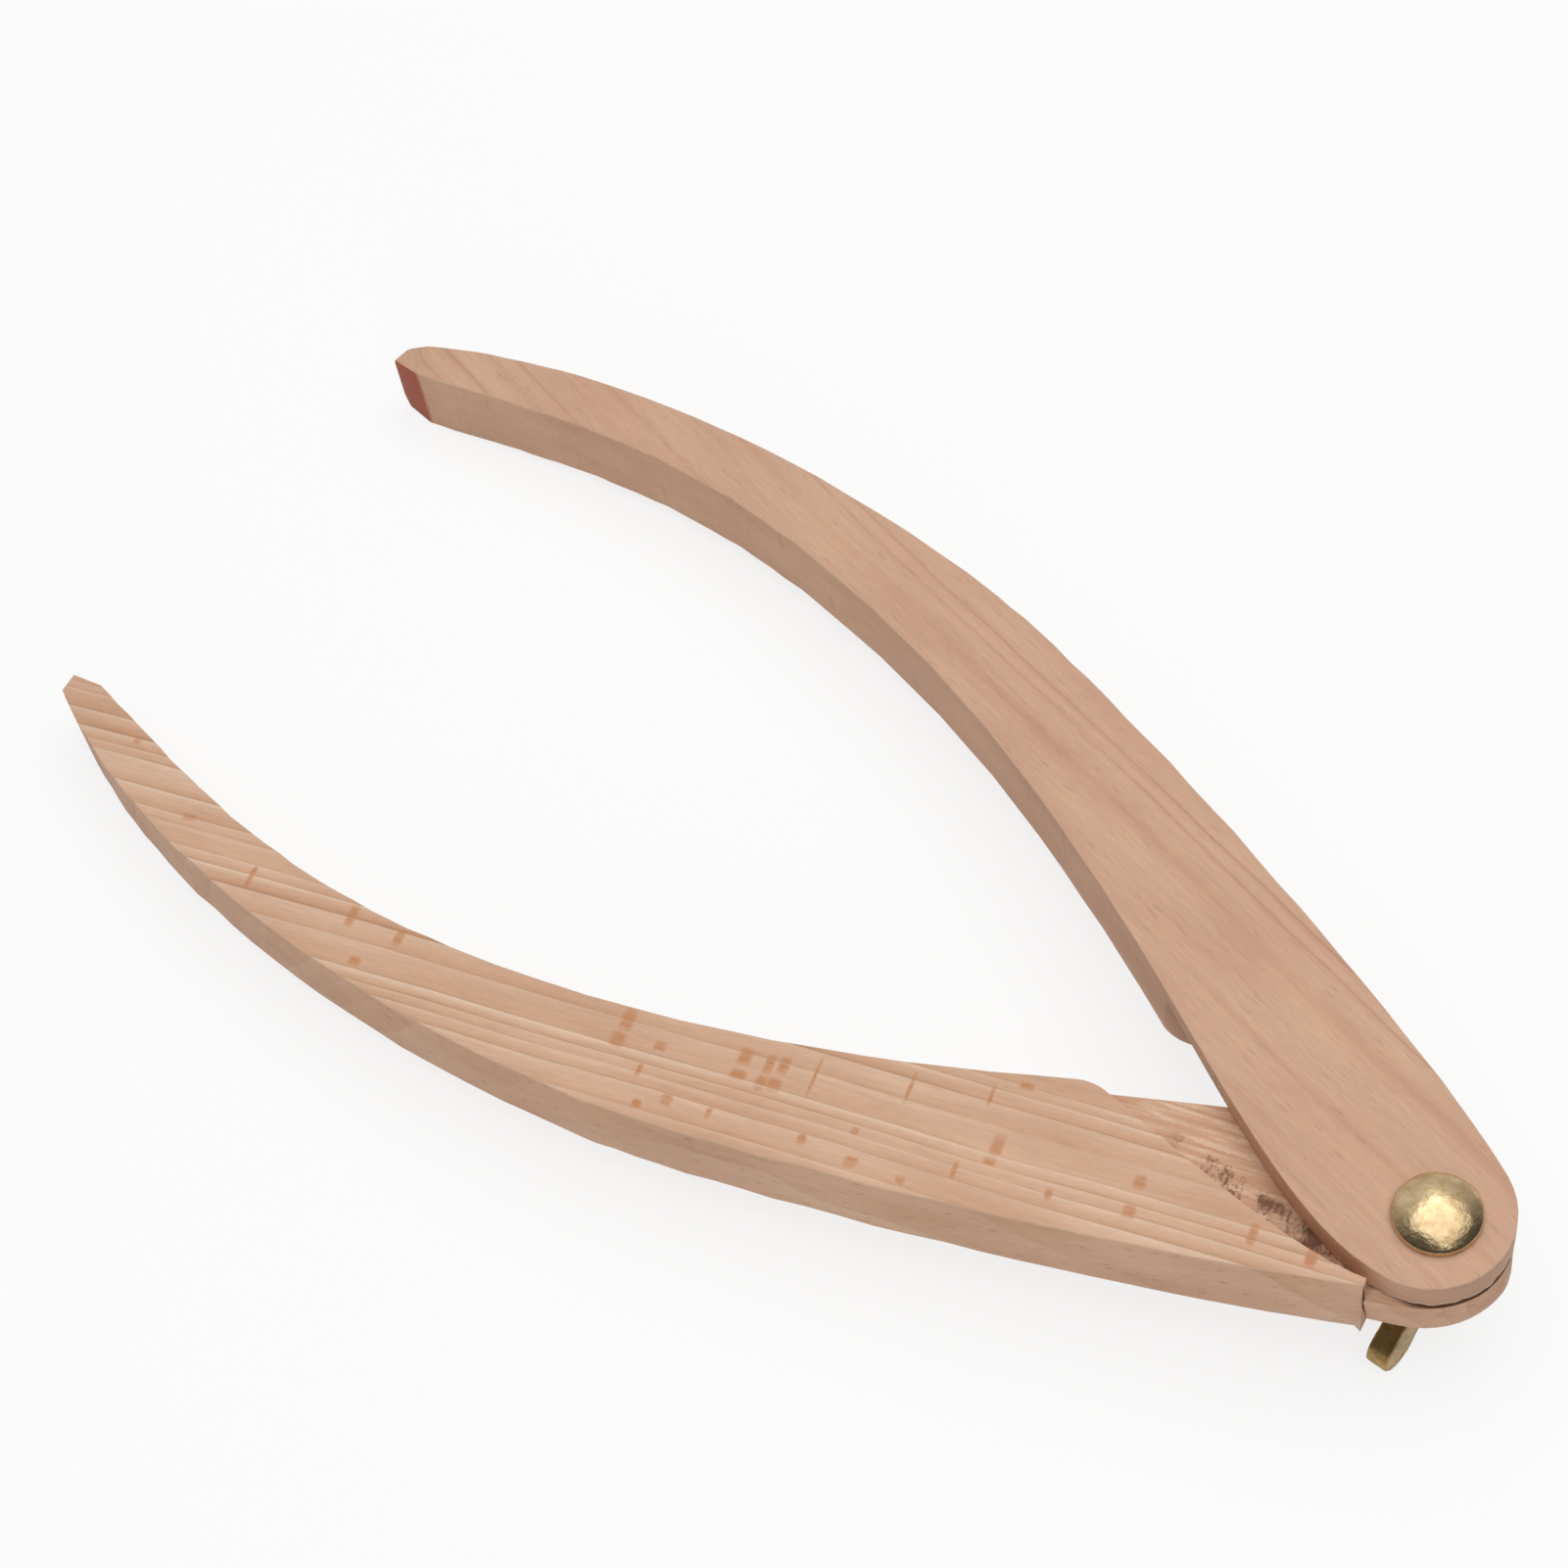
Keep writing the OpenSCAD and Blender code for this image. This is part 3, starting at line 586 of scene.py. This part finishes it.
def legPiece(leg, materialName):
    piece = copyOf(leg["node"], leg["piece"])
    hingeEnd, throat, tipEnd = legFinish["wavy"]
    crestStart, crestEnd, crestFrom = legFinish["crest"]
    firstWave, secondWave = legFinish["waves"]
    for vertex in piece.data.vertices:  # the cut edges wander slightly, each leg's in another phase
        x, y, z = legPlace(vertex, leg)
        if throat < x < tipEnd or (hingeEnd < x < throat and y > legFinish["wavyOuter"]):
            wander = math.sin(firstWave * x + 1.3 * leg["side"]) * math.sin(secondWave * x + 2)
            wander += 1 if crestStart < x < crestEnd and y > crestFrom else 0
            side = Vector((vertex.normal.x, vertex.normal.y, 0)).normalized()
            vertex.co -= side * legFinish["waver"] * wander * mm
    for cornerX, cornerY, reach in legFinish["softCorners"]:
        editOnly(piece)
        bpy.ops.mesh.select_mode(type="EDGE")
        shape = bmesh.from_edit_mesh(piece.data)
        for edge in shape.edges:  # the upright edges that stand at this corner
            ends = [legPlace(vertex, leg) for vertex in edge.verts]
            near = all(math.hypot(x - cornerX, y - cornerY) < 0.9 for x, y, z in ends)
            upright = abs(ends[0][2] - ends[1][2]) > 0.5 * edge.calc_length() / mm
            edge.select_set(near and upright and edge.calc_face_angle_signed(0) > math.radians(20))
        bmesh.update_edit_mesh(piece.data)
        bpy.ops.mesh.bevel(offset=reach * mm, segments=5, affect="EDGES", clamp_overlap=True)
        objectMode()
    editOnly(piece)
    selectSharp(piece, 30)
    bpy.ops.mesh.bevel(offset=legFinish["edgeRound"] * mm, segments=2, affect="EDGES", clamp_overlap=True)
    objectMode()
    heel, tornRim = leg.get("heel"), leg.get("tornRim")
    for vertex in piece.data.vertices:
        x, y, z = legPlace(vertex, leg)
        if heel and heel["start"] < x < heel["end"] and y > heel["outer"] and z < heel["below"]:
            swell = heel["swell"] + heel["more"] * z / heel["height"]
            pushOut(vertex, leg, 0, ((x - heel["start"]) / heel["length"]) ** heel["bend"] * swell)
        if tornRim and x < tornRim["before"] and math.hypot(x, y) > tornRim["rim"] and z < tornRim["below"]:
            around = math.atan2(y, x)
            tear = tornRim["depth"]
            for waves in tornRim["waves"]:
                tear += tornRim["uneven"] * math.sin(waves * around)
            pushOut(vertex, leg, -tear * math.cos(around), -tear * math.sin(around), tornRim["lift"] * tear)
    finishPiece(piece, beech(materialName, leg), 30, leg["node"], leg["node"])


legPiece(lowerLeg, "quarter-sawn beech, sanded")
legPiece(upperLeg, "flat-sawn beech, sanded")
print("legs made")


# Brass plate on the bolt, washer and nut: dull greenish gold with fine scratches and dark pits

# patterns in repeats a millimetre; the scratches run along a line that is turned, in radians
plating = {"blotches": 0.4, "pits": 1.9, "dents": 0.45, "relief": 0.25,
           "scratches": (0.5, 6, 6), "scratchTurn": (0.3, 0.2, 0.9), "scratchShare": 0.09}
boltBrassLook = {"gold": "#DEC59C", "dull": "#BEA074", "pit": "#4A3D28", "rough": 0.2, "relief": 0.55}
# the washer and nut, which lie under the legs, get a darker copy of the brass: painted shade
nutBrassPaintedShadeLook = {"gold": "#B2925C", "dull": "#806843", "pit": "#2E2418", "rough": 0.4, "relief": 0.8}


def brassPlate(name, look):
    material, tree = newMaterial(name)
    place = addNode(tree, "ShaderNodeTexCoord")
    spot = addNode(tree, "ShaderNodeMapping", {"Vector": place.outputs["Object"], "Scale": inMm})
    cloud = addNode(tree, "ShaderNodeTexNoise",
                    {"Vector": spot, "Scale": plating["blotches"], "Detail": 4, "Roughness": 0.6})
    colour = addNode(tree, "ShaderNodeValToRGB", {"Fac": cloud}, stops=(
        (0.38, hexColor(look["gold"])), (0.68, hexColor(look["dull"]))))
    pits = addNode(tree, "ShaderNodeTexNoise",
                   {"Vector": spot, "Scale": plating["pits"], "Detail": 3, "Roughness": 0.75})
    pits = addNode(tree, "ShaderNodeMapRange",
                   {"Value": pits, "From Min": 0.66, "From Max": 0.71, "To Min": 0, "To Max": 0.8})
    colour = addNode(tree, "ShaderNodeMix", {"Factor": pits, "A": colour, "B": hexColor(look["pit"])},
                     data_type="RGBA")
    # scratches from rubbing: real ones are a few hundredths of a millimetre wide and are drawn 0.15 mm wide
    lines = addNode(tree, "ShaderNodeMapping",
                    {"Vector": spot, "Rotation": plating["scratchTurn"], "Scale": plating["scratches"]})
    lines = addNode(tree, "ShaderNodeTexNoise", {"Vector": lines, "Scale": 1, "Detail": 3, "Roughness": 0.7})
    dents = addNode(tree, "ShaderNodeTexNoise",
                    {"Vector": spot, "Scale": plating["dents"], "Detail": 3, "Roughness": 0.6})
    height = addNode(tree, "ShaderNodeMath", {0: lines, 1: plating["scratchShare"], 2: dents},
                     operation="MULTIPLY_ADD")
    bump = addNode(tree, "ShaderNodeBump",
                   {"Strength": look["relief"], "Distance": plating["relief"] * mm, "Height": height})
    gloss = addNode(tree, "ShaderNodeMapRange", {"Value": cloud, "From Min": 0.3, "From Max": 0.7,
                    "To Min": look["rough"], "To Max": look["rough"] + 0.1})
    metal = addNode(tree, "ShaderNodeBsdfPrincipled",
                    {"Base Color": colour, "Metallic": 1, "Roughness": gloss, "Normal": bump})
    addNode(tree, "ShaderNodeOutputMaterial", {"Surface": metal})
    return material


boltBrass = brassPlate("brass plate, rubbed", boltBrassLook)
# material of the washer and nut: the same brass plate, darkened as painted shade
nutBrassPaintedShade = brassPlate("brass plate, cast and paintedShade", nutBrassPaintedShadeLook)

# Head of the bolt: a low dome drawn up from a disc

bolt = {  # heights are from the legs' undersides
    "headRadius": 6.6, "headFoot": 13.5, "rim": 1.1, "dome": 2.3, "domeSteps": 14, "rimRound": 0.25,
    "neck": 5.2, "neckTop": 13.7, "neckDepth": 3.4, "neckRound": 0.3,
    "shank": 2.5, "shankFoot": -1.9, "shankLength": 15.5,
    "end": -11.5, "threadTop": -1.5, "pitch": 0.8, "threadDepth": 0.45, "turnSteps": 40,
    "chamferDepth": 0.15, "chamferSlope": 0.9,
}

bpy.ops.object.select_all(action="DESELECT")
bpy.ops.mesh.primitive_circle_add(vertices=96, radius=bolt["headRadius"] * mm, fill_type="NGON",
                                  location=(0, 0, bolt["headFoot"] * mm))
head = bpy.context.active_object
head.name = "bolt_head"
bpy.ops.object.transform_apply(location=True)
bpy.ops.object.mode_set(mode="EDIT")
bpy.ops.mesh.select_all(action="SELECT")
bpy.ops.mesh.extrude_region_move(TRANSFORM_OT_translate={"value": (0, 0, bolt["rim"] * mm)})
domeRadius = (bolt["headRadius"] ** 2 + bolt["dome"] ** 2) / (2 * bolt["dome"])
domeAngle = math.asin(bolt["headRadius"] / domeRadius)
for step in range(1, bolt["domeSteps"]):
    before = domeAngle * (1 - (step - 1) / bolt["domeSteps"])
    after = domeAngle * (1 - step / bolt["domeSteps"])
    lift = domeRadius * (math.cos(after) - math.cos(before)) * mm
    shrink = math.sin(after) / math.sin(before)
    bpy.ops.mesh.extrude_region_move(TRANSFORM_OT_translate={"value": (0, 0, lift)})
    bpy.ops.transform.resize(value=(shrink, shrink, 1), center_override=(0, 0, 0))
bpy.ops.mesh.poke()
bpy.ops.mesh.select_all(action="SELECT")
bpy.ops.mesh.normals_make_consistent(inside=False)
bpy.ops.mesh.select_all(action="DESELECT")
selectSharp(head, 35)
bpy.ops.mesh.bevel(offset=bolt["rimRound"] * mm, segments=3, affect="EDGES")
objectMode()
finishPiece(head, boltBrass, 40, "upper_leg", "carriage_bolt")

# Square neck and smooth part of the shank, hidden in the wood
bpy.ops.object.select_all(action="DESELECT")
bpy.ops.mesh.primitive_circle_add(vertices=64, radius=bolt["shank"] * mm, fill_type="NGON",
                                  location=(0, 0, bolt["shankFoot"] * mm))
shank = bpy.context.active_object
shank.name = "bolt_shank"
bpy.ops.object.transform_apply(location=True)
bpy.ops.object.mode_set(mode="EDIT")
bpy.ops.mesh.select_all(action="SELECT")
bpy.ops.mesh.extrude_region_move(TRANSFORM_OT_translate={"value": (0, 0, bolt["shankLength"] * mm)})
bpy.ops.mesh.select_all(action="SELECT")
bpy.ops.mesh.normals_make_consistent(inside=False)
objectMode()
finishPiece(shank, boltBrass, 40, "upper_leg")
bpy.ops.object.select_all(action="DESELECT")
bpy.ops.mesh.primitive_cube_add(size=bolt["neck"] * mm, location=(0, 0, 0))
neck = bpy.context.active_object
neck.name = "bolt_neck"
neck.scale = (1, 1, bolt["neckDepth"] / bolt["neck"])
neck.rotation_euler = (0, 0, math.radians(upperLeg["turn"]))
neck.location = (0, 0, (bolt["neckTop"] - bolt["neckDepth"] / 2) * mm)
bpy.ops.object.transform_apply(location=True, rotation=True, scale=True)
editOnly(neck)
selectSharp(neck, 35)
bpy.ops.mesh.bevel(offset=bolt["neckRound"] * mm, segments=2, affect="EDGES")
objectMode()
finishPiece(neck, boltBrass, 40, "upper_leg")

# Thread: one tooth wound round the axis, cut off flat at both ends, then chamfered at the free end
bpy.ops.object.select_all(action="DESELECT")
bpy.ops.mesh.primitive_circle_add(vertices=3, radius=0.3 * mm, fill_type="NOTHING")
thread = bpy.context.active_object
thread.name = "bolt_thread"
root = bolt["shank"] - bolt["threadDepth"]
start = bolt["end"] - 1.5 * bolt["pitch"]
tooth = ((root, start), (bolt["shank"], start + bolt["pitch"] / 2), (root, start + bolt["pitch"]))
for vertex, (x, z) in zip(thread.data.vertices, tooth):
    vertex.co = (x * mm, 0, z * mm)
editOnly(thread)
bpy.ops.mesh.select_mode(type="EDGE")
shape = bmesh.from_edit_mesh(thread.data)
for edge in shape.edges:
    edge.select_set(abs(edge.verts[0].co.x - edge.verts[1].co.x) < 0.01 * mm)
bmesh.update_edit_mesh(thread.data)
bpy.ops.mesh.delete(type="EDGE_FACE")
objectMode()
wind = thread.modifiers.new("wind", "SCREW")
wind.screw_offset = bolt["pitch"] * mm
wind.iterations = int((bolt["threadTop"] - start) / bolt["pitch"]) + 2
wind.steps = bolt["turnSteps"]
wind.render_steps = bolt["turnSteps"]
wind.use_merge_vertices = True
wind.merge_threshold = 0.002 * mm
bpy.ops.object.modifier_apply(modifier="wind")
for cut, outwards in ((bolt["end"], -1), (bolt["threadTop"], 1)):
    editOnly(thread)
    bpy.ops.mesh.select_all(action="SELECT")
    bpy.ops.mesh.remove_doubles(threshold=0.003 * mm)
    bpy.ops.mesh.bisect(plane_co=(0, 0, cut * mm), plane_no=(0, 0, outwards), use_fill=True, clear_outer=True)
    objectMode()
editOnly(thread)
bpy.ops.mesh.select_all(action="SELECT")
bpy.ops.mesh.normals_make_consistent(inside=False)
objectMode()
for vertex in thread.data.vertices:
    reach = math.hypot(vertex.co.x, vertex.co.y)
    allowed = (root - bolt["chamferDepth"] + (vertex.co.z / mm - bolt["end"]) * bolt["chamferSlope"]) * mm
    if reach > allowed:
        vertex.co.x *= allowed / reach
        vertex.co.y *= allowed / reach
finishPiece(thread, boltBrass, 50, "upper_leg")
print("bolt made")


# Washer, punched from sheet, and wing nut, cast with soft edges

washerEdge = {"round": 0.12}
washer = copyOf("washer", "washer_brass")
editOnly(washer)
selectSharp(washer, 60)
bpy.ops.mesh.bevel(offset=washerEdge["round"] * mm, segments=2, affect="EDGES")
objectMode()
finishPiece(washer, nutBrassPaintedShade, 40, "washer", "washer")

castNut = {"grain": 0.22, "softening": 10, "softenBy": 0.5}
nut = copyOf("wing_nut", "wing_nut_brass")
for label, settings in (("REMESH", {"mode": "VOXEL", "voxel_size": castNut["grain"] * mm}),
                        ("SMOOTH", {"factor": castNut["softenBy"], "iterations": castNut["softening"]})):
    modifier = nut.modifiers.new(label.lower(), label)
    for key, value in settings.items():
        setattr(modifier, key, value)
    bpy.ops.object.modifier_apply(modifier=modifier.name)
finishPiece(nut, nutBrassPaintedShade, 60, "wing_nut", "wing_nut")
print("washer and nut made")
